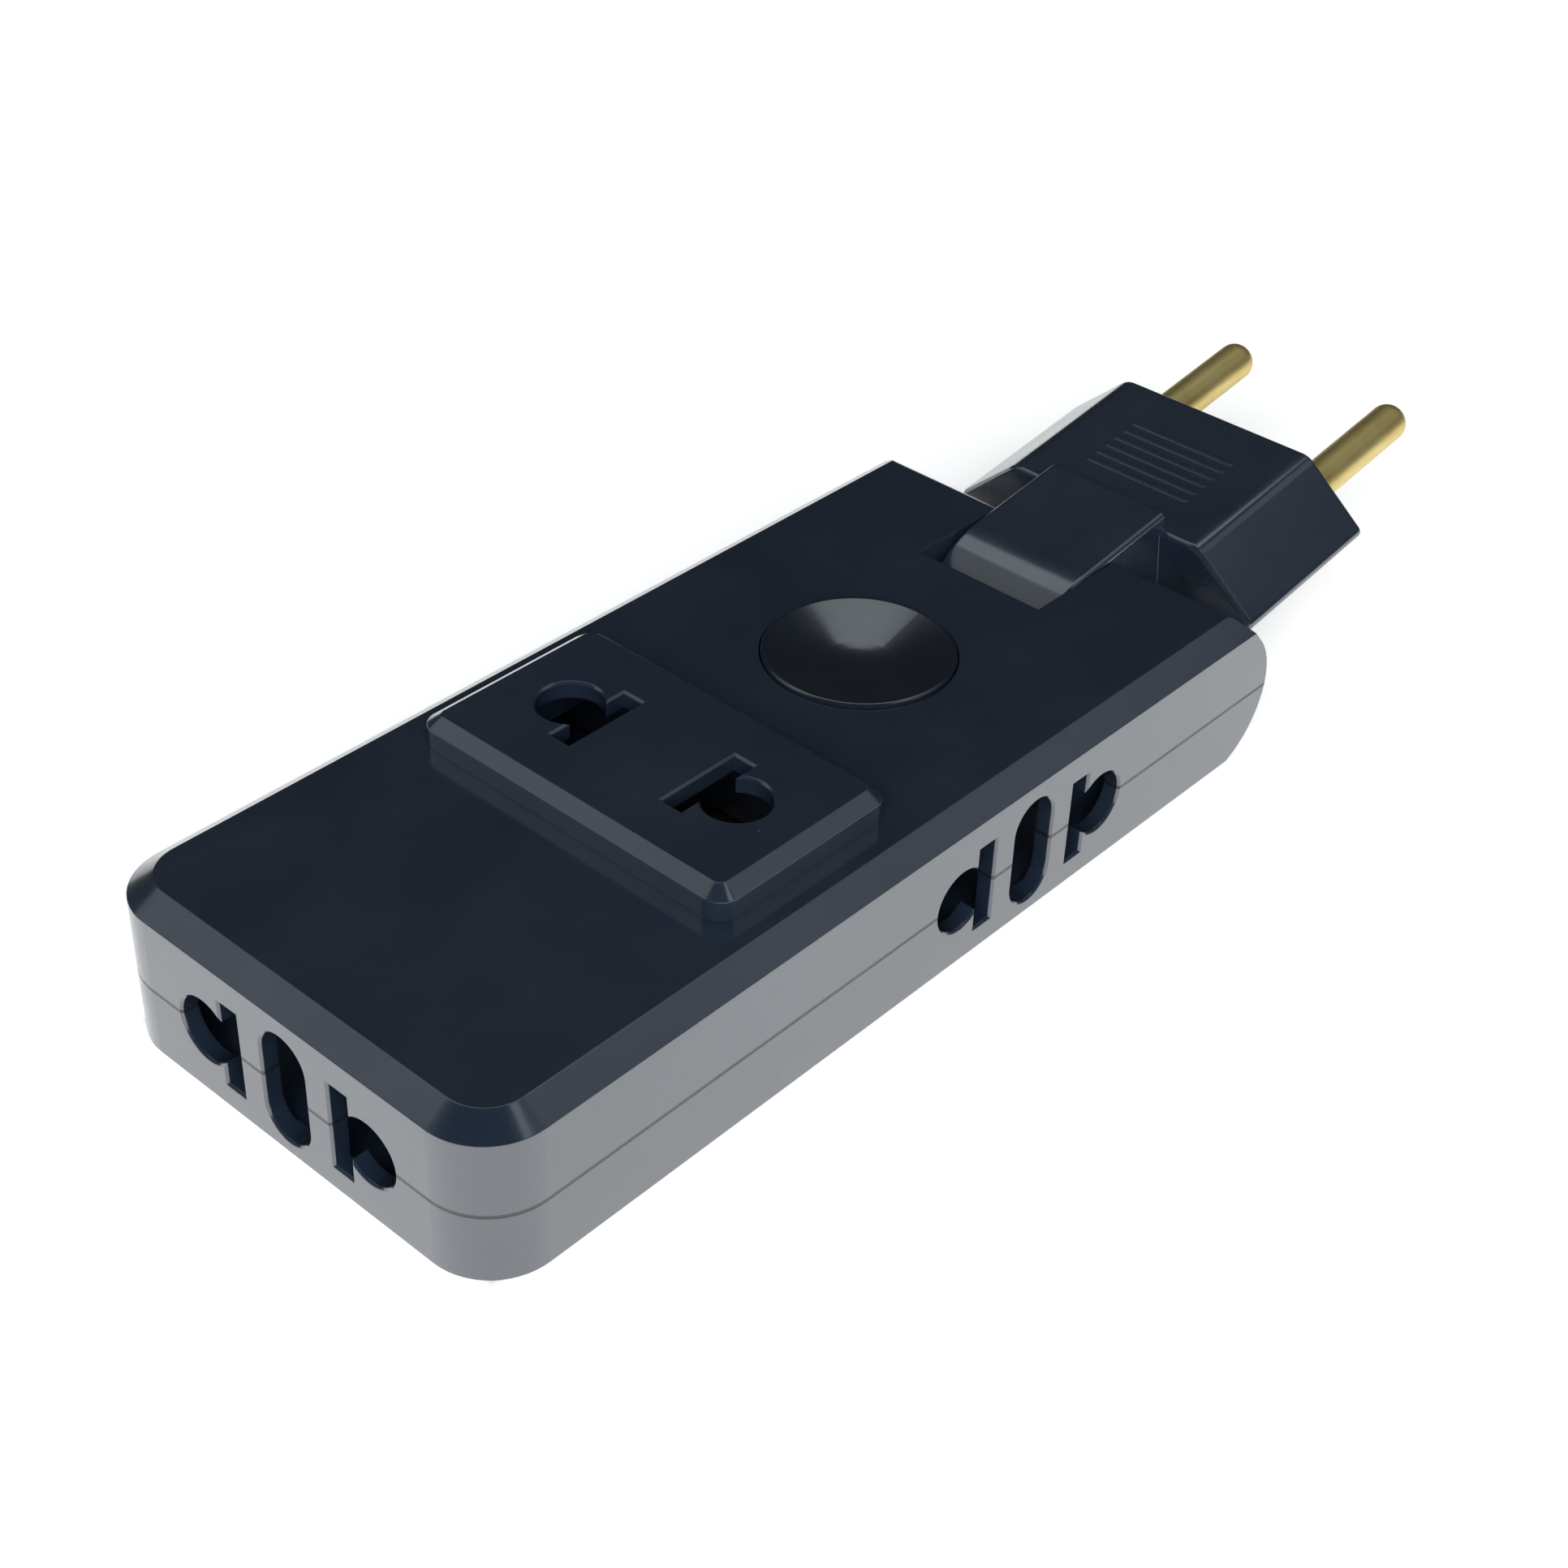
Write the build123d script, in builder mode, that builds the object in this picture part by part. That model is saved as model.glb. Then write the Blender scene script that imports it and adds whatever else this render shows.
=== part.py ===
from build123d import *
from math import cos, radians, sin
import os

os.makedirs("parts", exist_ok=True)

# Rotating plug adapter, in millimetres. The case lies on its flat base, with the
# origin at the middle of that base, +X towards the plug and +Z up.

# Driving dimensions of the case
body_length = 98.0
body_width = 44.4
body_height = 15.6
wall = 1.6
split_height = 7.0
corner_radius = 6.0
top_chamfer_in = 2.2
top_chamfer_down = 1.6
bottom_chamfer = 0.5
hinge_height = 7.6
end_radius = 7.6
end_slope = 41.0
end_top_radius = 1.6

# Driving dimensions of the hinge and its plug
rest_tilt = 7.8
notch_width = 14.0
notch_depth = 16.2
neck_width = 13.6
neck_top = 8.1
neck_bottom = 6.2
neck_reach = 12.4
shoulder = 11.6
plug_front = 30.9
plug_half_thick = 6.4
plug_top_half_width = 11.0
plug_half_width = 17.95
trunnion_radius = 2.5
bearing_gap = 0.08

# Driving dimensions of the outlets and the pins
pin_spacing = 19.0
pin_radius = 2.0
pin_length = 19.0
blade_spacing = 12.7
round_radius = 2.95
blade_slot_width = 2.1
blade_slot_height = 8.4
centre_slot_width = 5.1
centre_slot_height = 10.6
rim_bevel = 0.2
side_outlet_x = 13.5
top_outlet_x = -10.0

# Driving dimensions of the raised outlet block and the button
block_length = 20.2
block_width = 34.6
block_height = 2.8
block_corner = 2.0
block_chamfer_in = 1.25
block_chamfer_down = 0.95
block_skin = 1.6
button_x = 16.0
button_radius = 8.75
button_rim_height = 0.5
button_rim_round = 0.4
dish_slope = 16.0
dish_bottom_radius = 12.0
button_travel = 1.5

# Places worked out from the driving dimensions
half_length = body_length / 2
half_width = body_width / 2
hinge_x = half_length - end_radius
notch_x = half_length - notch_depth
roof = body_height - wall
notch_wall = notch_width / 2 + wall
pin_y = pin_spacing / 2

# How far a cut runs past the piece it goes through
spare = 1.0


def save(part, name):
    """Name a finished piece and write it."""
    part.label = name
    export_step(part, f"parts/{name}.step")


# Case form

def side_profile(inset):
    """The case seen from its long side, with the round end that faces the plug."""
    radius = end_radius - inset
    high = body_height - inset
    low = inset
    left = -half_length - spare
    round_x = hinge_x + radius * cos(radians(end_slope))
    round_z = hinge_height + radius * sin(radians(end_slope))
    top_x = round_x - (high - round_z) * sin(radians(end_slope)) / cos(radians(end_slope))
    with BuildSketch(Plane.XZ.offset(half_width)) as profile:
        with BuildLine():
            Line((left, low), (hinge_x, low))
            CenterArc((hinge_x, hinge_height), radius, -90, 90 + end_slope)
            Line((round_x, round_z), (top_x, high))
            Line((top_x, high), (left, high))
            Line((left, high), (left, low))
        make_face()
        fillet(profile.vertices().sort_by_distance((top_x, high))[0], end_top_radius)
    return profile.sketch


def case_form(inset):
    """The case's outside, or with an inset the same form drawn in by a wall."""
    low = inset
    high = body_height - inset
    width = body_width - 2 * inset
    with BuildPart() as form:
        with BuildSketch(Plane.XY.offset(low)):
            with Locations(((inset + spare) / 2, 0)):
                Rectangle(body_length - inset + spare, width)
        extrude(amount=high - low)
        fillet(form.edges().filter_by(Axis.Z).group_by(Axis.X)[0], corner_radius - inset)
        top = form.faces().sort_by(Axis.Z)[-1]
        chamfer(
            top.edges().sort_by(Axis.X)[:-1],
            length=top_chamfer_in,
            length2=top_chamfer_down,
            reference=top,
        )
        bottom = form.faces().sort_by(Axis.Z)[0]
        chamfer(bottom.edges().sort_by(Axis.X)[:-1], length=bottom_chamfer)
        extrude(side_profile(inset), amount=-body_width, mode=Mode.INTERSECT)
    return form.part


def case_cavity():
    """The space inside the case, which leaves walls standing round the hinge notch."""
    with BuildPart() as cavity:
        add(case_form(wall))
        with BuildSketch():
            with Locations((notch_x + notch_depth / 2, 0)):
                Rectangle(notch_depth + 2 * wall, 2 * notch_wall)
        extrude(amount=body_height, mode=Mode.SUBTRACT)
    return cavity.part


# Outlet openings

near_outlet = Plane(origin=(side_outlet_x, -half_width, split_height), x_dir=(1, 0, 0), z_dir=(0, -1, 0))
far_outlet = Plane(origin=(side_outlet_x, half_width, split_height), x_dir=(1, 0, 0), z_dir=(0, 1, 0))
end_outlet = Plane(origin=(-half_length, 0, split_height), x_dir=(0, 1, 0), z_dir=(-1, 0, 0))
block_top = body_height + block_height
top_outlet = Plane(origin=(top_outlet_x, 0, block_top), x_dir=(0, 1, 0), z_dir=(0, 0, 1))


def round_holes(face, grow=0.0):
    """Two holes for round pins, drawn flat on an outlet's face."""
    with BuildSketch(face) as holes:
        with Locations((-pin_y, 0), (pin_y, 0)):
            Circle(round_radius + grow)
    return holes.sketch


def blade_slots(face, grow=0.0):
    """Two upright slots for flat blades, each running into the round hole beside it."""
    with BuildSketch(face) as slots:
        with Locations((-blade_spacing / 2, 0), (blade_spacing / 2, 0)):
            Rectangle(blade_slot_width + 2 * grow, blade_slot_height + 2 * grow)
    return slots.sketch


def centre_hole(face, grow=0.0):
    """The tall round-ended hole for a middle pin."""
    with BuildSketch(face) as hole:
        SlotOverall(centre_slot_height + 2 * grow, centre_slot_width + 2 * grow, rotation=90)
    return hole.sketch


def cut_outlet(face, depth, shapes):
    """Cut an outlet's holes through a wall, each with a small lead-in bevel."""
    for shape in shapes:
        extrude(shape(face), amount=-depth, mode=Mode.SUBTRACT)
        extrude(shape(face, rim_bevel), amount=-rim_bevel, taper=45, mode=Mode.SUBTRACT)


# Whole case before it is split into two shells

def whole_case():
    """Both shells in one, with the hinge notch, its bearings and the side holes cut."""
    with BuildPart() as case:
        add(case_form(0))
        add(case_cavity(), mode=Mode.SUBTRACT)
        with BuildSketch():
            with Locations((notch_x + notch_depth / 2 + spare / 2, 0)):
                Rectangle(notch_depth + spare, notch_width)
        extrude(amount=body_height, mode=Mode.SUBTRACT)
        with BuildSketch(Plane.XZ.offset(-notch_wall - spare / 2)):
            with Locations((hinge_x, hinge_height)):
                Circle(trunnion_radius + bearing_gap)
        extrude(amount=2 * notch_wall + spare, mode=Mode.SUBTRACT)
        for face in (near_outlet, far_outlet, end_outlet):
            cut_outlet(face, wall + spare / 2, (round_holes, blade_slots, centre_hole))
    return case.part


# Screws that hold the two shells together
screw_places = [(-41.0, -16.9), (-41.0, 16.9), (30.2, -15.5), (30.2, 15.5)]
screw_shank = 1.5
screw_head = 2.6
screw_head_low = 1.0
screw_head_high = 2.8
screw_tip = 11.5
lower_boss = 3.8
upper_boss = 3.0
clearance_hole = 1.7
head_recess = 2.8

# Rails and clips that carry the current
rail_thick = 0.6
neutral_level = wall
live_level = 4.0
spine_half = 2.4
neutral_spine_half = 1.3
web_half = 2.8
clip_strip = 0.4
clip_top = 9.8
clip_inner = 5.4
clip_outer = 11.8
clip_mouth = 6.5
clip_straight = 7.9
clip_web = 19.6
clip_flare = 0.5
clip_bend = 0.5
top_clip_web = top_outlet_x - 3.8
top_clip_mouth = top_outlet_x + 3.6
top_clip_top = 11.6
rail_end = -29.8
leaf_x = 30.0
leaf_y = 10.5
leaf_end = 44.5
leaf_top = 9.9
live_leaf_start = 0.2
neutral_leaf_start = 2.6

# Switch under the button
switch_half_length = 6.0
switch_half_width = 2.2
switch_low = 2.6
switch_top = 9.2
switch_skin = 0.6
terminal_half = 1.2
terminal_gap = 2.3
bridge_half_length = 3.6
bridge_half_width = 1.4
bridge_thick = 0.5
stem_radius = 1.2
stem_hole = 1.35
flange_radius = 10.6
flange_low = 12.7
button_hollow = 7.3
button_hollow_top = 13.2
button_gap = 0.12
spring_radius = 2.2
spring_wire = 0.4
spring_turns = 4
spring_rest_gap = 0.02
live_top = live_level + rail_thick
neutral_top = neutral_level + rail_thick
bridge_low = live_top + button_travel


# Bottom shell

post_half_length = 1.0
post_inner = 1.5
post_outer = 2.2
post_places = (-21.0, -4.0)
switch_rib_half = 3.0
barrier_x = -0.5
barrier_thick = 1.0
barrier_gap = 8.0
rib_root = 0.4
well_radius = 2.9
well_floor = 1.0


def cut_holes(places, radius, low, high):
    """Round holes at the given places, from one height up to another."""
    with BuildSketch(Plane.XY.offset(low)) as holes:
        with Locations(*places):
            Circle(radius)
    extrude(holes.sketch, amount=high - low, mode=Mode.SUBTRACT)


def rail_supports(x, half, height):
    """A pair of low ribs on the floor, either side of the neutral rail."""
    middle = (post_inner + post_outer) / 2
    with BuildSketch(Plane.XY.offset(wall)) as ribs:
        with Locations((x, -middle), (x, middle)):
            Rectangle(2 * half, post_outer - post_inner)
    extrude(ribs.sketch, amount=height - wall)


def barrier(low, high):
    """Wall across the case that closes off the space under the top outlet."""
    with BuildSketch(Plane.XY.offset(low)) as wall_across:
        with Locations((barrier_x, 0)):
            Rectangle(barrier_thick, body_width - 2 * wall + 2 * rib_root)
            if low < split_height:
                Rectangle(barrier_thick, barrier_gap, mode=Mode.SUBTRACT)
    extrude(wall_across.sketch, amount=high - low)


case = whole_case()

with BuildPart() as bottom_shell:
    add(case)
    split(bisect_by=Plane.XY.offset(split_height), keep=Keep.BOTTOM)
    with BuildSketch(Plane.XY.offset(wall / 2)):
        with Locations(*screw_places):
            Circle(lower_boss)
    extrude(amount=split_height - wall / 2)
    cut_holes(screw_places, head_recess, 0, screw_head_high)
    cut_holes(screw_places, clearance_hole, screw_head_high, split_height)
    for place in post_places:
        rail_supports(place, post_half_length, live_level)
    rail_supports(button_x, switch_rib_half, switch_low)
    barrier(wall - rib_root, split_height)
    cut_holes([(top_outlet_x, -pin_y), (top_outlet_x, pin_y)], well_radius, well_floor, wall)
save(bottom_shell.part, "bottom_shell")


# Top shell

block_opening_x = block_length - 2 * block_skin
block_opening_y = block_width - 2 * block_skin

with BuildPart() as top_shell:
    add(case)
    split(bisect_by=Plane.XY.offset(split_height), keep=Keep.TOP)
    with BuildSketch(Plane.XY.offset(split_height)):
        with Locations(*screw_places):
            Circle(upper_boss)
    extrude(amount=roof + wall / 2 - split_height)
    barrier(split_height, roof + rib_root)
    cut_holes(screw_places, screw_shank, split_height, screw_tip)
    with BuildSketch(Plane.XY.offset(roof - spare)):
        with Locations((top_outlet_x, 0)):
            Rectangle(block_opening_x, block_opening_y)
        with Locations((button_x, 0)):
            Circle(button_radius + button_gap)
    extrude(amount=wall + 2 * spare, mode=Mode.SUBTRACT)
save(top_shell.part, "top_shell")


# Raised outlet block, which snaps into the roof

skirt_gap = 0.05
skirt_thick = 1.2
skirt_low = 12.9
snap_depth = 0.5
snap_length = 8.0

with BuildPart() as top_outlet_block:
    with BuildSketch(Plane.XY.offset(body_height)):
        with Locations((top_outlet_x, 0)):
            RectangleRounded(block_length, block_width, block_corner)
    extrude(amount=block_height)
    crown = top_outlet_block.faces().sort_by(Axis.Z)[-1]
    chamfer(crown.edges(), length=block_chamfer_in, length2=block_chamfer_down, reference=crown)
    with BuildSketch(Plane.XY.offset(skirt_low)):
        with Locations((top_outlet_x, 0)):
            Rectangle(block_opening_x - 2 * skirt_gap, block_opening_y - 2 * skirt_gap)
    extrude(amount=body_height - skirt_low)
    with BuildSketch(Plane.XY.offset(skirt_low)):
        with Locations((top_outlet_x, 0)):
            Rectangle(snap_length, block_opening_y + 2 * snap_depth)
    extrude(amount=roof - skirt_gap - skirt_low)
    inner_x = block_opening_x - 2 * skirt_gap - 2 * skirt_thick
    inner_y = block_opening_y - 2 * skirt_gap - 2 * skirt_thick
    with BuildSketch(Plane.XY.offset(skirt_low)):
        with Locations((top_outlet_x, 0)):
            Rectangle(inner_x, inner_y)
    extrude(amount=block_top - block_skin - skirt_low, mode=Mode.SUBTRACT)
    cut_outlet(top_outlet, block_skin + spare / 2, (round_holes, blade_slots))
save(top_outlet_block.part, "top_outlet_block")


# Screws of the case

recess_radius = 0.9
recess_depth = 0.9


def pan_screw(plane, places, shank, head, head_height, length):
    """Cross-recess screws standing on a plane, each with its head at the plane."""
    with BuildSketch(plane) as heads:
        with Locations(*places):
            Circle(head)
    extrude(heads.sketch, amount=head_height)
    with BuildSketch(plane.offset(head_height)) as shanks:
        with Locations(*places):
            Circle(shank)
    extrude(shanks.sketch, amount=length - head_height)
    with BuildSketch(plane) as recesses:
        with Locations(*places):
            Rectangle(2 * recess_radius, recess_radius / 2)
            Rectangle(recess_radius / 2, 2 * recess_radius)
    extrude(recesses.sketch, amount=recess_depth, mode=Mode.SUBTRACT)


with BuildPart() as case_screws:
    pan_screw(
        Plane.XY.offset(screw_head_low),
        screw_places,
        screw_shank,
        screw_head,
        screw_head_high - screw_head_low,
        screw_tip - screw_head_low,
    )
save(case_screws.part, "case_screws")


# Current rails

def rail(level, pieces):
    """A flat brass strip, cut out as rectangles given by their low and high corners."""
    with BuildPart() as strip:
        with BuildSketch(Plane.XY.offset(level)):
            for low_x, high_x, low_y, high_y in pieces:
                with Locations(((low_x + high_x) / 2, (low_y + high_y) / 2)):
                    Rectangle(high_x - low_x, high_y - low_y)
        extrude(amount=rail_thick)
    return strip.part


clip_in_x = side_outlet_x - clip_outer
clip_out_x = side_outlet_x + clip_outer
switch_in_x = button_x - terminal_gap
switch_out_x = button_x + terminal_gap
tab_depth = 3.8
tab_reach = 10.0
top_tab = clip_inner + clip_strip / 2
web_width = clip_outer - top_tab
leaf_tab = 2.0

live_rail_pieces = [
    (rail_end, clip_in_x + web_width, -spine_half, spine_half),
    (clip_in_x, clip_in_x + web_width, -web_half, web_half),
    (clip_in_x, switch_in_x, -terminal_half, terminal_half),
    (rail_end, rail_end + tab_depth, -tab_reach, 0),
    (top_clip_web, top_clip_web + tab_depth, -top_tab, 0),
]
save(rail(live_level, live_rail_pieces), "live_rail")

neutral_rail_pieces = [
    (rail_end, leaf_x + clip_strip / 2, -neutral_spine_half, neutral_spine_half),
    (clip_out_x - web_width, clip_out_x, -web_half, web_half),
    (rail_end, rail_end + tab_depth, 0, tab_reach),
    (top_clip_web, top_clip_web + tab_depth, 0, top_tab),
    (leaf_x - leaf_tab, leaf_x + clip_strip / 2, 0, top_tab),
]
save(rail(neutral_level, neutral_rail_pieces), "neutral_rail")

live_feed_pieces = [(switch_out_x, leaf_x + clip_strip / 2, -terminal_half, terminal_half)]
save(rail(live_level, live_feed_pieces), "live_feed_bar")


# Spring clips of the outlets

def bent_strip(path, low, high):
    """Thin strip stood on edge and bent along a path seen from above."""
    with BuildPart() as strip:
        with BuildSketch(Plane.XY.offset(low)):
            with BuildLine():
                FilletPolyline(*path, radius=clip_bend)
            trace(line_width=clip_strip)
        extrude(amount=high - low)
    return strip.part


clip_path = [
    (clip_inner - clip_flare, clip_mouth),
    (clip_inner, clip_straight),
    (clip_inner, clip_web),
    (clip_outer, clip_web),
    (clip_outer, clip_straight),
    (clip_outer + clip_flare, clip_mouth),
]


def in_near_outlet(across, depth):
    return (side_outlet_x + across, depth - half_width)


def in_far_outlet(across, depth):
    return (side_outlet_x + across, half_width - depth)


def in_end_outlet(across, depth):
    return (depth - half_length, across)


poles = {"live": -1, "neutral": 1}
rail_tops = {"live": live_top, "neutral": neutral_top}
outlets = {"near": in_near_outlet, "far": in_far_outlet, "end": in_end_outlet}

for pole, side in poles.items():
    foot = rail_tops[pole]
    for outlet, spot in outlets.items():
        bends = [spot(side * across, depth) for across, depth in clip_path]
        save(bent_strip(bends, foot, clip_top), f"{outlet}_outlet_{pole}_clip")
    channel = [
        (top_clip_mouth, side * clip_inner),
        (top_clip_web, side * clip_inner),
        (top_clip_web, side * clip_outer),
        (top_clip_mouth, side * clip_outer),
    ]
    save(bent_strip(channel, foot, top_clip_top), f"top_outlet_{pole}_clip")


# Leaf springs that press on the hinge trunnions

live_leaf_path = [(leaf_x, -live_leaf_start), (leaf_x, -leaf_y), (leaf_end, -leaf_y)]
save(bent_strip(live_leaf_path, live_top, leaf_top), "live_hinge_leaf")
neutral_leaf_path = [(leaf_x, neutral_leaf_start), (leaf_x, leaf_y), (leaf_end, leaf_y)]
save(bent_strip(neutral_leaf_path, neutral_top, leaf_top), "neutral_hinge_leaf")


# Switch

with BuildPart() as switch_base:
    with BuildSketch(Plane.XY.offset(switch_low)):
        with Locations((button_x, 0)):
            Rectangle(2 * switch_half_length, 2 * switch_half_width)
    extrude(amount=live_level - switch_low)
save(switch_base.part, "switch_base")

with BuildPart() as switch_cover:
    with BuildSketch(Plane.XY.offset(live_level)):
        with Locations((button_x, 0)):
            Rectangle(2 * switch_half_length, 2 * switch_half_width)
    extrude(amount=switch_top - live_level)
    with BuildSketch(Plane.XY.offset(live_level)):
        with Locations((button_x, 0)):
            Rectangle(2 * (switch_half_length - switch_skin), 2 * (switch_half_width - switch_skin))
    extrude(amount=switch_top - switch_skin - live_level, mode=Mode.SUBTRACT)
    with BuildSketch(Plane.XY.offset(live_level)):
        with Locations((button_x, 0)):
            Rectangle(2 * switch_half_length, 2 * terminal_half)
    extrude(amount=rail_thick, mode=Mode.SUBTRACT)
    cut_holes([(button_x, 0)], stem_hole, switch_top - switch_skin - spare, switch_top)
save(switch_cover.part, "switch_cover")

with BuildPart() as switch_bridge:
    with BuildSketch(Plane.XY.offset(bridge_low)):
        with Locations((button_x, 0)):
            Rectangle(2 * bridge_half_length, 2 * bridge_half_width)
    extrude(amount=bridge_thick)
save(switch_bridge.part, "switch_bridge")


# Push button with a dished top, and its spring

button_axis = Axis((button_x, 0, 0), (0, 0, 1))
button_section = Plane(origin=(button_x, 0, 0), x_dir=(1, 0, 0), z_dir=(0, -1, 0))
button_rim = (button_radius, body_height + button_rim_height)
dish_turn = dish_bottom_radius * sin(radians(dish_slope))
dish_side = (button_radius - dish_turn) * sin(radians(dish_slope)) / cos(radians(dish_slope))
dish_edge = (dish_turn, body_height + button_rim_height - dish_side)
button_middle = (0, dish_edge[1] - dish_bottom_radius * (1 - cos(radians(dish_slope))))
stem_low = bridge_low + bridge_thick

with BuildPart() as button_cap:
    with BuildSketch(button_section) as cap_section:
        with BuildLine():
            Polyline(
                button_middle,
                (0, stem_low),
                (stem_radius, stem_low),
                (stem_radius, button_hollow_top),
                (button_hollow, button_hollow_top),
                (button_hollow, flange_low),
                (flange_radius, flange_low),
                (flange_radius, roof),
                (button_radius, roof),
                button_rim,
                dish_edge,
            )
            TangentArc(button_middle, dish_edge, tangent=(1, 0))
        make_face()
        fillet(cap_section.vertices().sort_by_distance(button_rim)[0], button_rim_round)
    revolve(axis=button_axis)
save(button_cap.part, "button_cap")

spring_low = switch_top + spring_wire / 2 + spring_rest_gap
spring_high = button_hollow_top - spring_wire / 2 - spring_rest_gap

with BuildPart() as button_spring:
    with BuildLine():
        coil = Helix(
            pitch=(spring_high - spring_low) / spring_turns,
            height=spring_high - spring_low,
            radius=spring_radius,
            center=(button_x, 0, spring_low),
        )
    with BuildSketch(Plane(origin=coil @ 0, z_dir=coil % 0)):
        Circle(spring_wire / 2)
    sweep(path=coil, is_frenet=True)
save(button_spring.part, "button_spring")


# Plug, tilted up about the hinge as it stands at rest

tilt_cos = cos(radians(rest_tilt))
tilt_sin = sin(radians(rest_tilt))
along = Vector(tilt_cos, 0, tilt_sin)
upward = Vector(-tilt_sin, 0, tilt_cos)
hinge_point = Vector(hinge_x, 0, hinge_height)
plug_plane = Plane(origin=hinge_point, x_dir=along, z_dir=upward)
plug_side = Plane(origin=hinge_point, x_dir=along, z_dir=(0, -1, 0))

edge_round = 2.2
vertex_round = 0.7
face_round = 0.5
neck_round = 0.5
neck_arc_end = 140.0
cavity_half = 3.4
neck_inner = 4.9
neck_inner_low = -4.0
head_inner_low = 13.0
head_inner_high = 23.0
head_inner_half = 13.0
rib_count = 6
rib_pitch = 1.5
rib_length = 12.0
rib_width = 0.6
rib_corner = 0.28
rib_height = 0.1
rib_centre = 21.0
plug_screw_at = 27.0
plug_screw_shank = 1.3
plug_screw_head = 2.4
plug_screw_hole = 1.5
plug_screw_recess = 2.6
plug_screw_seat = -3.4
plug_screw_low = -5.2
plug_screw_tip = 4.0
pin_tail = 21.0
pin_shank = 1.5
pin_end_round = 1.8
trunnion_inner = 3.4
trunnion_end = 10.25
lead_half = 1.4
lead_thick = 0.6
lead_bend = 0.5
lead_start = -1.5
lead_turn = 10.5


def across_plug(reach):
    """Plane square to the plug, at a distance from the hinge."""
    return Plane(origin=hinge_point + along * reach, x_dir=(0, 1, 0), z_dir=along)


def head_form():
    """Six-sided head, widest at its middle, with rounded edges."""
    with BuildPart() as head:
        with BuildSketch(across_plug(shoulder)):
            with BuildLine():
                FilletPolyline(
                    (-plug_half_width, 0),
                    (-plug_top_half_width, plug_half_thick),
                    (plug_top_half_width, plug_half_thick),
                    (plug_half_width, 0),
                    (plug_top_half_width, -plug_half_thick),
                    (-plug_top_half_width, -plug_half_thick),
                    radius=[vertex_round, edge_round, edge_round, vertex_round, edge_round, edge_round],
                    close=True,
                )
            make_face()
        extrude(amount=plug_front - shoulder)
        ends = head.faces().sort_by(Axis(hinge_point, along))
        fillet(ends[0].edges() + ends[-1].edges(), face_round)
    return head.part


def neck_form():
    """Neck that turns in the case's notch, round about the hinge at its end."""
    turn = radians(neck_arc_end)
    with BuildPart() as neck:
        with BuildSketch(plug_side):
            with BuildLine():
                Line((neck_reach, neck_top), (0, neck_top))
                CenterArc((0, 0), neck_top, 90, neck_arc_end - 90)
                Line((neck_top * cos(turn), neck_top * sin(turn)), (-neck_bottom, 0))
                CenterArc((0, 0), neck_bottom, 180, 90)
                Polyline((0, -neck_bottom), (neck_reach, -neck_bottom), (neck_reach, neck_top))
            make_face()
        extrude(amount=neck_width / 2, both=True)
        top = neck.faces().sort_by(Axis(hinge_point, upward))[-1]
        sides = top.edges().filter_by(Axis(hinge_point, along))
        fillet(sides, neck_round)
    return neck.part


def plug_form():
    """Head and neck in one, with the hollow for the leads and the holes for the brass."""
    with BuildPart() as plug:
        add(head_form())
        add(neck_form())
        with BuildSketch(plug_plane.offset(-cavity_half)):
            with Locations(((neck_inner_low + head_inner_low) / 2, 0)):
                Rectangle(head_inner_low - neck_inner_low, 2 * neck_inner)
            with Locations(((head_inner_low + head_inner_high) / 2, 0)):
                Rectangle(head_inner_high - head_inner_low, 2 * head_inner_half)
        extrude(amount=2 * cavity_half, mode=Mode.SUBTRACT)
        with BuildSketch(plug_side):
            Circle(trunnion_radius)
        extrude(amount=neck_width / 2, both=True, mode=Mode.SUBTRACT)
        with BuildSketch(across_plug(pin_tail)):
            with Locations((-pin_y, 0), (pin_y, 0)):
                Circle(pin_shank)
        extrude(amount=plug_front - pin_tail, mode=Mode.SUBTRACT)
    return plug.part


plug = plug_form()

with BuildPart() as plug_upper_half:
    add(plug)
    split(bisect_by=plug_plane, keep=Keep.TOP)
    with BuildSketch(plug_plane.offset(plug_half_thick - rib_height)):
        with Locations((rib_centre, 0)):
            with GridLocations(rib_pitch, 0, rib_count, 1):
                RectangleRounded(rib_width, rib_length, rib_corner)
    extrude(amount=2 * rib_height)
    with BuildSketch(plug_plane):
        with Locations((plug_screw_at, 0)):
            Circle(plug_screw_shank)
    extrude(amount=plug_screw_tip, mode=Mode.SUBTRACT)
save(plug_upper_half.part, "plug_upper_half")

with BuildPart() as plug_lower_half:
    add(plug)
    split(bisect_by=plug_plane, keep=Keep.BOTTOM)
    with BuildSketch(plug_plane.offset(plug_screw_seat)):
        with Locations((plug_screw_at, 0)):
            Circle(plug_screw_hole)
    extrude(amount=-plug_screw_seat, mode=Mode.SUBTRACT)
    with BuildSketch(plug_plane.offset(-plug_half_thick)):
        with Locations((plug_screw_at, 0)):
            Circle(plug_screw_recess)
    extrude(amount=plug_screw_seat + plug_half_thick, mode=Mode.SUBTRACT)
save(plug_lower_half.part, "plug_lower_half")

with BuildPart() as plug_screw:
    pan_screw(
        plug_plane.offset(plug_screw_low),
        [(plug_screw_at, 0)],
        plug_screw_shank,
        plug_screw_head,
        plug_screw_seat - plug_screw_low,
        plug_screw_tip - plug_screw_low,
    )
save(plug_screw.part, "plug_screw")


# Pins, leads and trunnions of the plug

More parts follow.
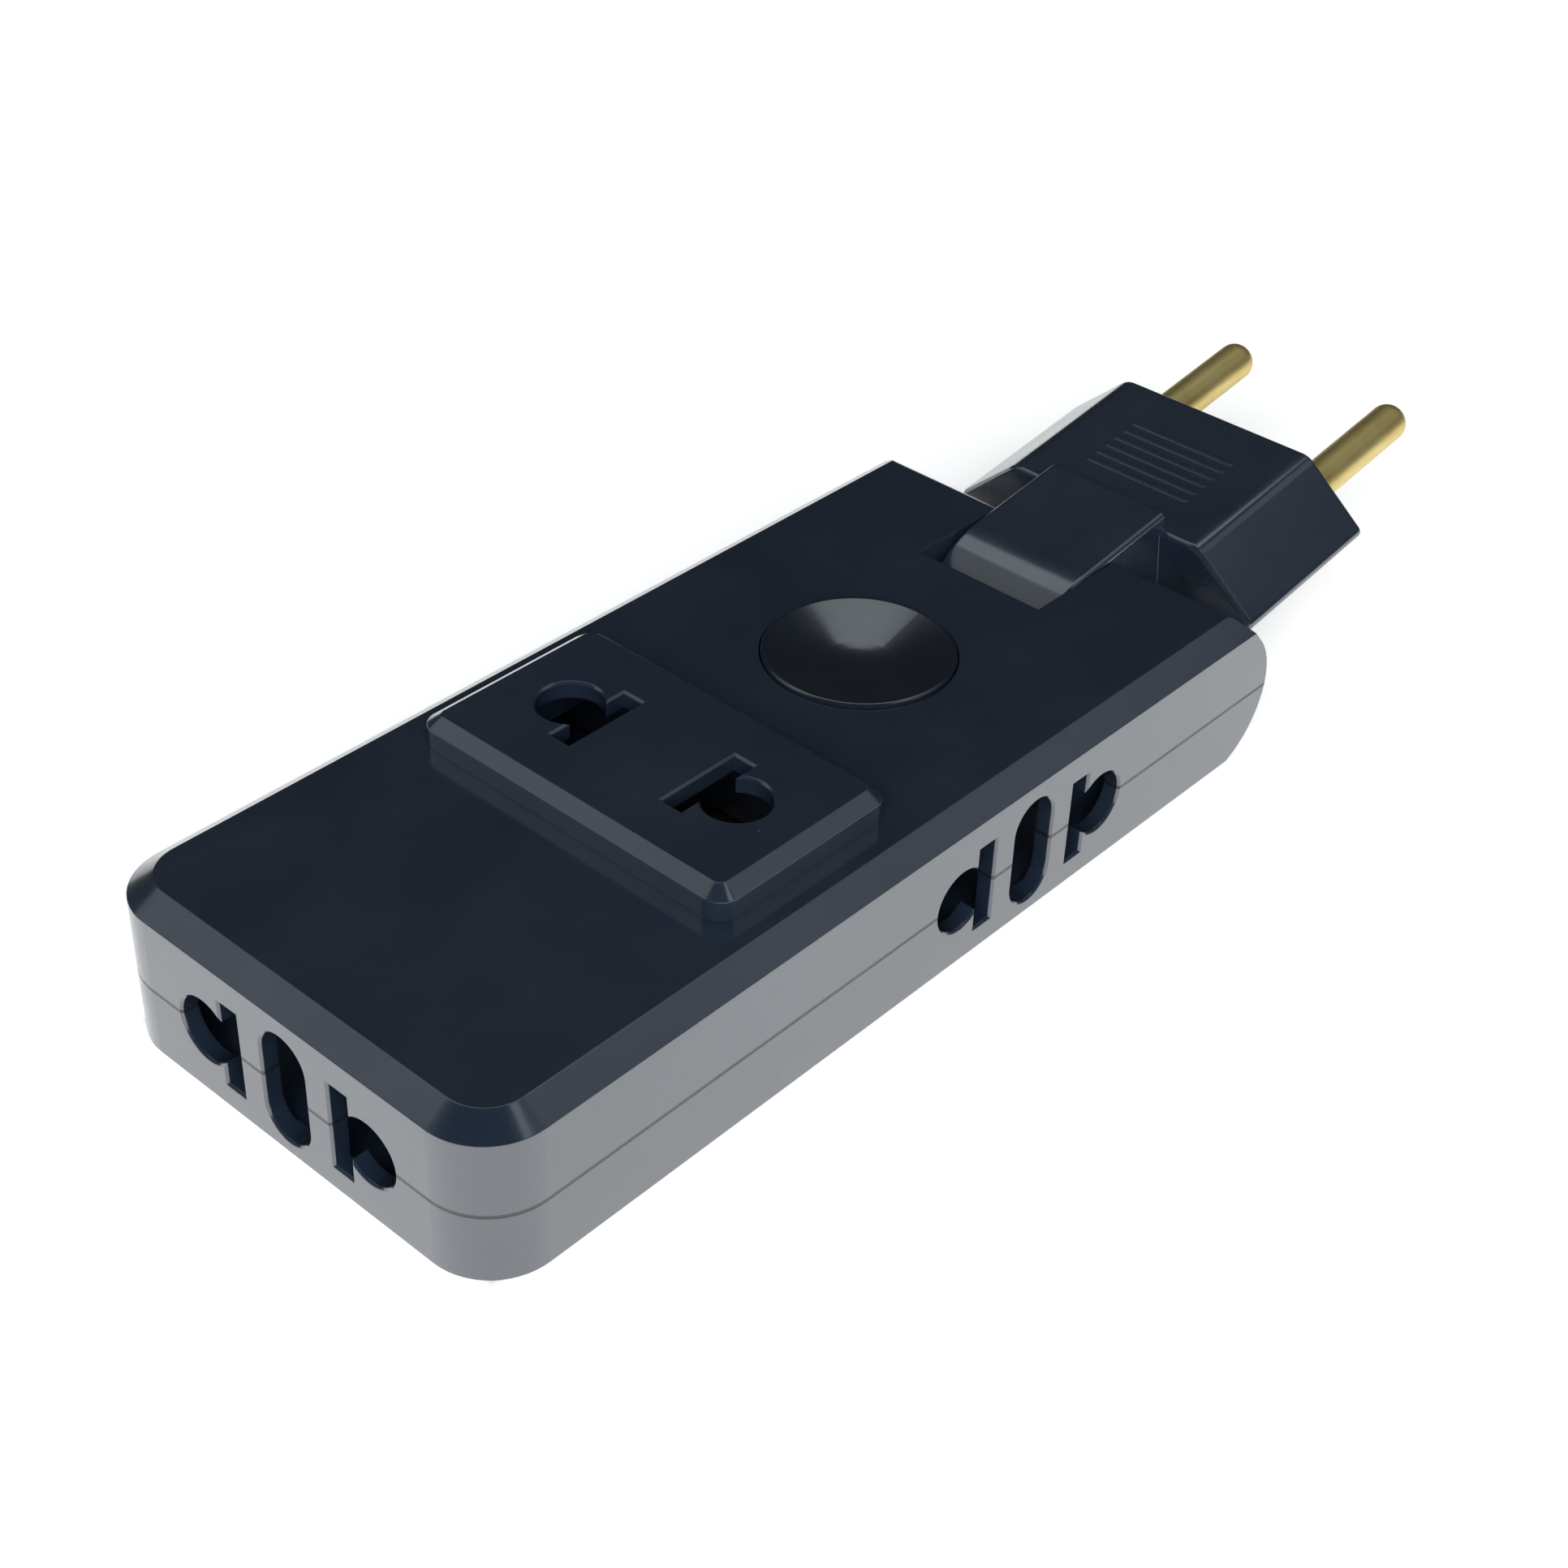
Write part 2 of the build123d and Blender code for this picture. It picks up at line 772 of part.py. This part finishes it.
for pole, side in poles.items():
    with BuildPart() as pin:
        with BuildSketch(across_plug(plug_front)):
            with Locations((side * pin_y, 0)):
                Circle(pin_radius)
        extrude(amount=pin_length)
        tip = pin.faces().sort_by(Axis(hinge_point, along))[-1]
        fillet(tip.edges(), pin_end_round)
        with BuildSketch(across_plug(pin_tail)):
            with Locations((side * pin_y, 0)):
                Circle(pin_shank)
        extrude(amount=plug_front - pin_tail)
    save(pin.part, f"plug_{pole}_pin")

    outward = Plane(origin=hinge_point, x_dir=(1, 0, 0), z_dir=(0, side, 0))
    with BuildPart() as trunnion:
        with BuildSketch(outward.offset(trunnion_inner)):
            Circle(trunnion_radius)
        extrude(amount=trunnion_end - trunnion_inner)
    save(trunnion.part, f"{pole}_trunnion")

    lead_y = trunnion_inner - lead_thick / 2
    lead_path = [
        (lead_start, side * lead_y),
        (lead_turn, side * lead_y),
        (pin_tail - lead_thick / 2, side * (pin_y - pin_radius)),
        (pin_tail - lead_thick / 2, side * (pin_y + pin_radius)),
    ]
    with BuildPart() as lead:
        with BuildSketch(plug_plane.offset(-lead_half)):
            with BuildLine():
                FilletPolyline(*lead_path, radius=lead_bend)
            trace(line_width=lead_thick)
        extrude(amount=2 * lead_half)
    save(lead.part, f"plug_{pole}_lead")
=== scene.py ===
import math

import bmesh
import bpy
from mathutils import Matrix, Vector


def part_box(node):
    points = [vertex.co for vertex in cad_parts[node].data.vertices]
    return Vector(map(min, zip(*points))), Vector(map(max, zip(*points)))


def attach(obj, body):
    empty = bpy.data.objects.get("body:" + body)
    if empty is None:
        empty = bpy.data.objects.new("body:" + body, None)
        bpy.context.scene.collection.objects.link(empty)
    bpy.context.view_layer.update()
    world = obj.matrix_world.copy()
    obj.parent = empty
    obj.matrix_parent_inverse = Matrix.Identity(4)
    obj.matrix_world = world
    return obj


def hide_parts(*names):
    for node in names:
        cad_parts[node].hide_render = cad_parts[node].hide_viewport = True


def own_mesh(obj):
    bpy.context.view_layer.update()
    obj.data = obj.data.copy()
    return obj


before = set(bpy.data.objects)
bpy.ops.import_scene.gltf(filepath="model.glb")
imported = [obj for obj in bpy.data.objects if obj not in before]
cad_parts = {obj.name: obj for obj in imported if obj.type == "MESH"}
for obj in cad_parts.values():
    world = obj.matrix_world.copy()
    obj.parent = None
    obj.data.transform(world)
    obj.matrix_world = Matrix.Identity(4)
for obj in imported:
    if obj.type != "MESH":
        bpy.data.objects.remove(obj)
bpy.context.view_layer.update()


# The case is two injection moulded shells of near-black glossy ABS. Where they meet, round the sides
# and through the pin holes, a fine line is painted near black and matte: painted shade of the narrow
# gap between the shells. The moulds leave a faint orange peel on the faces, and handling leaves soft
# smudges and a few specks of dust.

case_colour = (0.0085, 0.0147, 0.0275)
case_tint = (0.0135, 0.0208, 0.0355)
case_roughness = 0.21
smudge_roughness = 0.08
dust_colour = (0.22, 0.22, 0.21)
peel_depth = 0.000003
grain_depth = 0.0000008
edge_softness = 0.00014
seam_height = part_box("top_shell")[0].z
seam_half_width = 0.00019
# Painted shade: the seam line is coloured near black to stand for the shadow in the gap between the
# shells.
painted_seam_shade = (0.002, 0.002, 0.002)


def new_material(name):
    """An empty node material with its shader and a source of object coordinates."""
    material = bpy.data.materials.new(name)
    material.use_nodes = True
    shader = material.node_tree.nodes["Principled BSDF"]
    place = material.node_tree.nodes.new("ShaderNodeTexCoord")
    return material, shader, place.outputs["Object"]


def noise(material, place, scale, detail=2.0, roughness=0.5, stretch=None):
    """Noise on object coordinates; a stretch draws it out into streaks."""
    nodes, links = material.node_tree.nodes, material.node_tree.links
    if stretch:
        mapping = nodes.new("ShaderNodeMapping")
        mapping.inputs["Scale"].default_value = stretch
        links.new(place, mapping.inputs["Vector"])
        place = mapping.outputs["Vector"]
    texture = nodes.new("ShaderNodeTexNoise")
    texture.inputs["Scale"].default_value = scale
    texture.inputs["Detail"].default_value = detail
    texture.inputs["Roughness"].default_value = roughness
    links.new(place, texture.inputs["Vector"])
    return texture.outputs["Fac"]


def spread(material, value, low, high, to_low=0.0, to_high=1.0):
    """Carry a value from one span to another, held at its ends."""
    remap = material.node_tree.nodes.new("ShaderNodeMapRange")
    remap.inputs["From Min"].default_value = low
    remap.inputs["From Max"].default_value = high
    remap.inputs["To Min"].default_value = to_low
    remap.inputs["To Max"].default_value = to_high
    material.node_tree.links.new(value, remap.inputs["Value"])
    return remap.outputs["Result"]


def mixed(material, share, first, second):
    """Blend two colours, each a plain colour or another node's, by a share from 0 to 1."""
    mix = material.node_tree.nodes.new("ShaderNodeMix")
    mix.data_type = "RGBA"
    links = material.node_tree.links
    links.new(share, mix.inputs["Factor"])
    for socket, colour in ((mix.inputs["A"], first), (mix.inputs["B"], second)):
        if isinstance(colour, tuple):
            socket.default_value = (*colour, 1)
        else:
            links.new(colour, socket)
    return mix.outputs["Result"]


def raised(material, heights, edge_radius):
    """Bump from pairs of height and depth in metres, over edges softened by a radius."""
    nodes, links = material.node_tree.nodes, material.node_tree.links
    soft_edge = nodes.new("ShaderNodeBevel")
    soft_edge.samples = 6
    soft_edge.inputs["Radius"].default_value = edge_radius
    normal = soft_edge.outputs["Normal"]
    for height, depth in heights:
        bump = nodes.new("ShaderNodeBump")
        bump.inputs["Distance"].default_value = depth
        links.new(height, bump.inputs["Height"])
        links.new(normal, bump.inputs["Normal"])
        normal = bump.outputs["Normal"]
    return normal


def specks(material, place, scale, size):
    """Sparse round specks: cells whose middle is near and whose own random colour is high."""
    nodes, links = material.node_tree.nodes, material.node_tree.links
    cells = nodes.new("ShaderNodeTexVoronoi")
    cells.inputs["Scale"].default_value = scale
    links.new(place, cells.inputs["Vector"])
    near = spread(material, cells.outputs["Distance"], 0.0, size, 1.0, 0.0)
    chosen = nodes.new("ShaderNodeSeparateColor")
    links.new(cells.outputs["Color"], chosen.inputs["Color"])
    rare = spread(material, chosen.outputs["Red"], 0.93, 0.95)
    both = nodes.new("ShaderNodeMath")
    both.operation = "MULTIPLY"
    links.new(near, both.inputs[0])
    links.new(rare, both.inputs[1])
    return both.outputs["Value"]


def moulded_plastic(name, colour, tint, roughness, seam=None):
    """Dark glossy ABS with orange peel, smudges and dust, and perhaps a parting line of painted shade.
    """
    material, shader, place = new_material(name)
    nodes, links = material.node_tree.nodes, material.node_tree.links
    cloud = spread(material, noise(material, place, 70, 3), 0.3, 0.7)
    paint = mixed(material, cloud, colour, tint)
    dust = specks(material, place, 260, 0.05)
    paint = mixed(material, dust, paint, dust_colour)
    smudge = noise(material, place, 130, 4, 0.6)
    gloss = spread(material, smudge, 0.35, 0.7, roughness, roughness + smudge_roughness)
    # The parting line is painted shade, near black and fully matte where the shells meet.
    if seam is not None:
        height = nodes.new("ShaderNodeSeparateXYZ")
        links.new(place, height.inputs["Vector"])
        gap = nodes.new("ShaderNodeMath")
        gap.operation = "COMPARE"
        gap.inputs[1].default_value = seam
        gap.inputs[2].default_value = seam_half_width
        links.new(height.outputs["Z"], gap.inputs[0])
        paint = mixed(material, gap.outputs["Value"], paint, painted_seam_shade)
        dull = nodes.new("ShaderNodeMath")
        dull.operation = "MAXIMUM"
        links.new(gloss, dull.inputs[0])
        links.new(gap.outputs["Value"], dull.inputs[1])
        gloss = dull.outputs["Value"]
    links.new(paint, shader.inputs["Base Color"])
    links.new(gloss, shader.inputs["Roughness"])
    peel = noise(material, place, 900, 2)
    grain = noise(material, place, 6000, 3)
    relief = raised(material, [(peel, peel_depth), (grain, grain_depth)], edge_softness)
    links.new(relief, shader.inputs["Normal"])
    links.new(raised(material, [(peel, peel_depth)], edge_softness), shader.inputs["Coat Normal"])
    shader.inputs["IOR"].default_value = 1.9
    shader.inputs["Coat Weight"].default_value = 0.9
    shader.inputs["Coat IOR"].default_value = 2.0
    shader.inputs["Coat Roughness"].default_value = 0.12
    return material


def finish_nodes(material, *names):
    """Give CAD nodes their material."""
    for name in names:
        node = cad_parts[name]
        node.data.materials.clear()
        node.data.materials.append(material)


case_plastic = moulded_plastic("case_plastic", case_colour, case_tint, case_roughness, seam=seam_height)
finish_nodes(case_plastic, "bottom_shell", "top_shell")


# The raised outlet block is a separate moulding that snaps into the roof. It is the same ABS,
# from a smoother mould, with a bevelled edge that stays bright.

block_colour = (0.0098, 0.0165, 0.0295)
block_tint = (0.0147, 0.0227, 0.0368)
block_roughness = 0.2
block_plastic = moulded_plastic("block_plastic", block_colour, block_tint, block_roughness)
finish_nodes(block_plastic, "top_outlet_block")


# The push button is a moulded cap, blacker than the case and polished, and dished for a
# fingertip. It slides in a round well in the roof.

button_colour = (0.0046, 0.007, 0.0138)
button_tint = (0.007, 0.0104, 0.0173)
button_roughness = 0.2
button_plastic = moulded_plastic("button_plastic", button_colour, button_tint, button_roughness)
finish_nodes(button_plastic, "button_cap")


# The plug's two halves are the case's ABS again, a little more worn by handling. A screw from
# below closes them round the pins.

plug_colour = (0.0092, 0.0153, 0.027)
plug_tint = (0.0147, 0.022, 0.0343)
plug_roughness = 0.23
plug_plastic = moulded_plastic("plug_plastic", plug_colour, plug_tint, plug_roughness)
finish_nodes(plug_plastic, "plug_upper_half", "plug_lower_half")


# The plug's pins and the trunnions it turns on are turned and polished brass. Use leaves fine
# scratches along the pins and a faint tarnish.

scratch_depth = 0.000006
brass_softness = 0.00012


def polished_brass(name, colour, tarnish, roughness, stretch):
    """Brass with fine scratches, drawn out along one direction, and cloudy tarnish."""
    material, shader, place = new_material(name)
    links = material.node_tree.links
    cloud = spread(material, noise(material, place, 240, 4, 0.6), 0.35, 0.75)
    links.new(mixed(material, cloud, colour, tarnish), shader.inputs["Base Color"])
    shader.inputs["Metallic"].default_value = 0.9
    scratch = noise(material, place, 2500, 4, 0.7, stretch)
    worn = spread(material, scratch, 0.3, 0.7, roughness - 0.06, roughness + 0.1)
    links.new(worn, shader.inputs["Roughness"])
    links.new(raised(material, [(scratch, scratch_depth)], brass_softness), shader.inputs["Normal"])
    return material


pin_colour = (0.98, 0.8, 0.34)
pin_tarnish = (0.9, 0.69, 0.24)
pin_roughness = 0.4
along_pin = (0.06, 1, 1)
pin_brass = polished_brass("pin_brass", pin_colour, pin_tarnish, pin_roughness, along_pin)
finish_nodes(pin_brass, "plug_live_pin", "plug_neutral_pin", "live_trunnion", "neutral_trunnion")


# Rails, outlet clips, hinge leaves and leads carry the current inside. All are stamped and bent
# from rolled brass strip, which is duller than the pins. Its colour is also made much darker than
# brass, as painted shade for the dim insides of the outlet holes where the clips are seen.

# Painted shade: these strip colours are kept far darker than brass so the clips deep in the holes read
# as dim.
strip_colour_and_shade = (0.4, 0.29, 0.14)
strip_tarnish_and_shade = (0.24, 0.17, 0.085)
strip_roughness = 0.45
along_strip = (1, 0.08, 1)
strip_brass = polished_brass("strip_brass", strip_colour_and_shade, strip_tarnish_and_shade, strip_roughness, along_strip)
strip_names = ["live_rail", "neutral_rail", "live_feed_bar", "live_hinge_leaf", "neutral_hinge_leaf"]
strip_names += ["plug_live_lead", "plug_neutral_lead", "switch_bridge"]
for outlet in ("near", "far", "end", "top"):
    strip_names += [f"{outlet}_outlet_live_clip", f"{outlet}_outlet_neutral_clip"]
finish_nodes(strip_brass, *strip_names)


# The switch under the button has a base and a cover of matte heat-proof plastic. They are
# moulded in cream with a coarse grain, and hold the bridge that joins the live bars.

cream = (0.62, 0.59, 0.5)
soiled_cream = (0.5, 0.47, 0.39)
cream_roughness = 0.62
cream_grain_depth = 0.00001
cream_softness = 0.00015


def matte_plastic(name, colour, shade):
    """Matte moulded plastic with a coarse grain and a little soiling."""
    material, shader, place = new_material(name)
    links = material.node_tree.links
    cloud = spread(material, noise(material, place, 300, 4), 0.35, 0.7)
    links.new(mixed(material, cloud, colour, shade), shader.inputs["Base Color"])
    shader.inputs["Roughness"].default_value = cream_roughness
    grain = noise(material, place, 5000, 3)
    links.new(raised(material, [(grain, cream_grain_depth)], cream_softness), shader.inputs["Normal"])
    return material


switch_plastic = matte_plastic("switch_plastic", cream, soiled_cream)
finish_nodes(switch_plastic, "switch_base", "switch_cover")


# Four screws close the case from below and one closes the plug. They are zinc plated steel, as
# is the wire of the button's spring.

zinc_colour = (0.62, 0.62, 0.63)
zinc_shade = (0.47, 0.47, 0.49)
crystal_depth = 0.000004
zinc_softness = 0.0001


def plated_steel(name):
    """Zinc plated steel, with crystals in the plating that vary its gloss."""
    material, shader, place = new_material(name)
    links = material.node_tree.links
    cloud = spread(material, noise(material, place, 900, 5, 0.65), 0.3, 0.7)
    links.new(mixed(material, cloud, zinc_colour, zinc_shade), shader.inputs["Base Color"])
    shader.inputs["Metallic"].default_value = 1.0
    links.new(spread(material, cloud, 0, 1, 0.26, 0.42), shader.inputs["Roughness"])
    fine = noise(material, place, 7000, 3)
    links.new(raised(material, [(fine, crystal_depth)], zinc_softness), shader.inputs["Normal"])
    return material


steel = plated_steel("steel")
finish_nodes(steel, "case_screws", "plug_screw")


# The button's spring is a coil of round wire that stands on the switch's cover. It stands for the
# CAD's own coil.

coil_low, coil_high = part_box("button_spring")
wire_radius = 0.0002
wire_sides = 12
coil_radius = (coil_high.x - coil_low.x) / 2 - wire_radius
coil_middle = Vector(((coil_low.x + coil_high.x) / 2, (coil_low.y + coil_high.y) / 2, 0))
coil_height = coil_high.z - coil_low.z
coil_climb = coil_height - 2 * wire_radius
coil_turns = 4
coil_steps = 32 * coil_turns

coil = bmesh.new()
bmesh.ops.create_circle(coil, segments=wire_sides, radius=wire_radius)
wire_end = coil_middle + Vector((coil_radius, 0, coil_low.z + wire_radius))
stand_up = Matrix.Rotation(math.pi / 2, 4, "X")
bmesh.ops.rotate(coil, verts=coil.verts, matrix=stand_up)
bmesh.ops.translate(coil, verts=coil.verts, vec=wire_end)
bmesh.ops.spin(
    coil,
    geom=coil.verts[:] + coil.edges[:],
    cent=coil_middle,
    axis=(0, 0, 1),
    dvec=(0, 0, coil_climb / coil_steps),
    angle=2 * math.pi * coil_turns,
    steps=coil_steps,
)
bmesh.ops.holes_fill(coil, edges=[edge for edge in coil.edges if edge.is_boundary])
bmesh.ops.recalc_face_normals(coil, faces=coil.faces)
coil_mesh = bpy.data.meshes.new("button_coil")
coil.to_mesh(coil_mesh)
coil.free()
coil_mesh.materials.append(steel)
coil_mesh.polygons.foreach_set("use_smooth", [True] * len(coil_mesh.polygons))
button_coil = bpy.data.objects.new("button_coil", coil_mesh)
bpy.context.scene.collection.objects.link(button_coil)
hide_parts("button_spring")
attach(button_coil, "case")
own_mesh(button_coil)


# The object lies on a plain white floor. The floor is a little brighter to the camera and in glossy
# faces than the lamps make it, and still takes the object's shadow. Under the case that extra glow is
# cut off, a painted shadow where the floor shows through the hinge notch.

floor_size = 6.0
floor_white = (0.9, 0.9, 0.9)
floor_roughness = 0.9
glow_to_camera = 0.45
glow_in_gloss = 0.2
glow_fades_from = 0.001
glow_gone_by = 0.002
bpy.ops.mesh.primitive_plane_add(size=floor_size)
floor = bpy.context.object
floor.name = "floor"
floor_paint, floor_shader, floor_place = new_material("floor_paint")
floor_nodes, floor_links = floor_paint.node_tree.nodes, floor_paint.node_tree.links
floor_shader.inputs["Base Color"].default_value = (*floor_white, 1)
floor_shader.inputs["Roughness"].default_value = floor_roughness


def floor_math(operation, first, second):
    """A math node on the floor, between a socket and a socket or plain number."""
    node = floor_nodes.new("ShaderNodeMath")
    node.operation = operation
    floor_links.new(first, node.inputs[0])
    if isinstance(second, float):
        node.inputs[1].default_value = second
    else:
        floor_links.new(second, node.inputs[1])
    return node.outputs["Value"]


rays = floor_nodes.new("ShaderNodeLightPath")
seen_glow = floor_math("MULTIPLY", rays.outputs["Is Camera Ray"], glow_to_camera)
mirrored_glow = floor_math("MULTIPLY", rays.outputs["Is Glossy Ray"], glow_in_gloss)
floor_glow = floor_math("ADD", seen_glow, mirrored_glow)
floor_axes = floor_nodes.new("ShaderNodeSeparateXYZ")
floor_links.new(floor_place, floor_axes.inputs["Vector"])
# Painted shadow: the glow fades out over the case's footprint, so the floor under it stays dark.
past_sides = []
for axis, half in (("X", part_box("bottom_shell")[1].x), ("Y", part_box("bottom_shell")[1].y)):
    distance = floor_math("ABSOLUTE", floor_axes.outputs[axis], 0.0)
    past_sides.append(spread(floor_paint, distance, half - glow_gone_by, half - glow_fades_from))
outside_painted_shadow = floor_math("MAXIMUM", past_sides[0], past_sides[1])
floor_shader.inputs["Emission Color"].default_value = (1, 1, 1, 1)
floor_links.new(
    floor_math("MULTIPLY", floor_glow, outside_painted_shadow), floor_shader.inputs["Emission Strength"]
)
floor.data.materials.append(floor_paint)


# The room behind the floor's edge is white to the camera. It gives the object almost no light,
# so that the lamps alone shade it.

room_white = (0.92, 0.97, 1)
room_level_seen = 1.0
room_level_cast = 0.02
world = bpy.data.worlds.new("room")
bpy.context.scene.world = world
world.use_nodes = True
backdrop = world.node_tree.nodes["Background"]
backdrop.inputs["Color"].default_value = (*room_white, 1)
direct = world.node_tree.nodes.new("ShaderNodeLightPath")
level = spread(world, direct.outputs["Is Camera Ray"], 0.0, 1.0, room_level_cast, room_level_seen)
world.node_tree.links.new(level, backdrop.inputs["Strength"])


# Weak soft boxes hang behind the object and to either side, and give its glossy faces their
# sheen. A large fill light behind the camera does most of the lighting, and isn't mirrored
# in them.

def soft_light(name, direction, distance, size_x, size_y, power, colour):
    """An area light that looks at the object from a direction."""
    data = bpy.data.lights.new(name, "AREA")
    data.shape = "RECTANGLE"
    data.size = size_x
    data.size_y = size_y
    data.energy = power
    data.color = colour
    lamp = bpy.data.objects.new(name, data)
    bpy.context.scene.collection.objects.link(lamp)
    towards = Vector(direction).normalized()
    lamp.location = towards * distance
    lamp.rotation_euler = towards.to_track_quat("Z", "Y").to_euler()
    return lamp


box_distance = 1.2
fill_distance = 1.3
soft_light("back_box", (0.36, 0.26, 1.0), box_distance, 1.16, 0.363, 0.95, (0.85, 0.95, 1))
soft_light("left_box", (-0.38, 0.66, 0.8), box_distance, 0.7, 0.85, 0.55, (0.92, 0.97, 1))
soft_light("right_box", (0.28, -0.53, 1.0), box_distance, 0.4, 0.24, 0.2, (0.88, 0.95, 1))
soft_light("low_light", (0.53, -0.52, 0.67), box_distance, 0.9, 0.35, 0.22, (0.88, 0.95, 1))
fill_light = soft_light(
    "fill_light", (-0.64, -0.54, 0.55), fill_distance, 1.5, 1.0, 31, (0.97, 0.985, 1)
)
fill_light.visible_glossy = False


# The camera stands where the photograph was taken from: to the left of the near long side, well
# above it, and slightly rolled.

image_width = 1932
focal_pixels = 3137.8
sensor_width = 36.0
camera_azimuth = math.radians(-49.19)
camera_elevation = math.radians(36.704)
camera_roll = math.radians(2.339)
camera_distance = 0.213656
aim = Vector((0.0, -0.005722, 0.012596))

camera_data = bpy.data.cameras.new("camera")
camera_data.sensor_width = sensor_width
camera_data.lens = focal_pixels * sensor_width / image_width
camera_data.clip_start = 0.005
camera = bpy.data.objects.new("camera", camera_data)
bpy.context.scene.collection.objects.link(camera)
turn = Matrix.Rotation(camera_azimuth, 4, "Z")
tip = Matrix.Rotation(math.pi / 2 - camera_elevation, 4, "X")
roll = Matrix.Rotation(camera_roll, 4, "Z")
stance = turn @ tip @ roll
camera.matrix_world = Matrix.Translation(aim + stance.col[2].to_3d() * camera_distance) @ stance
bpy.context.scene.camera = camera
bpy.context.scene.view_settings.view_transform = "Standard"
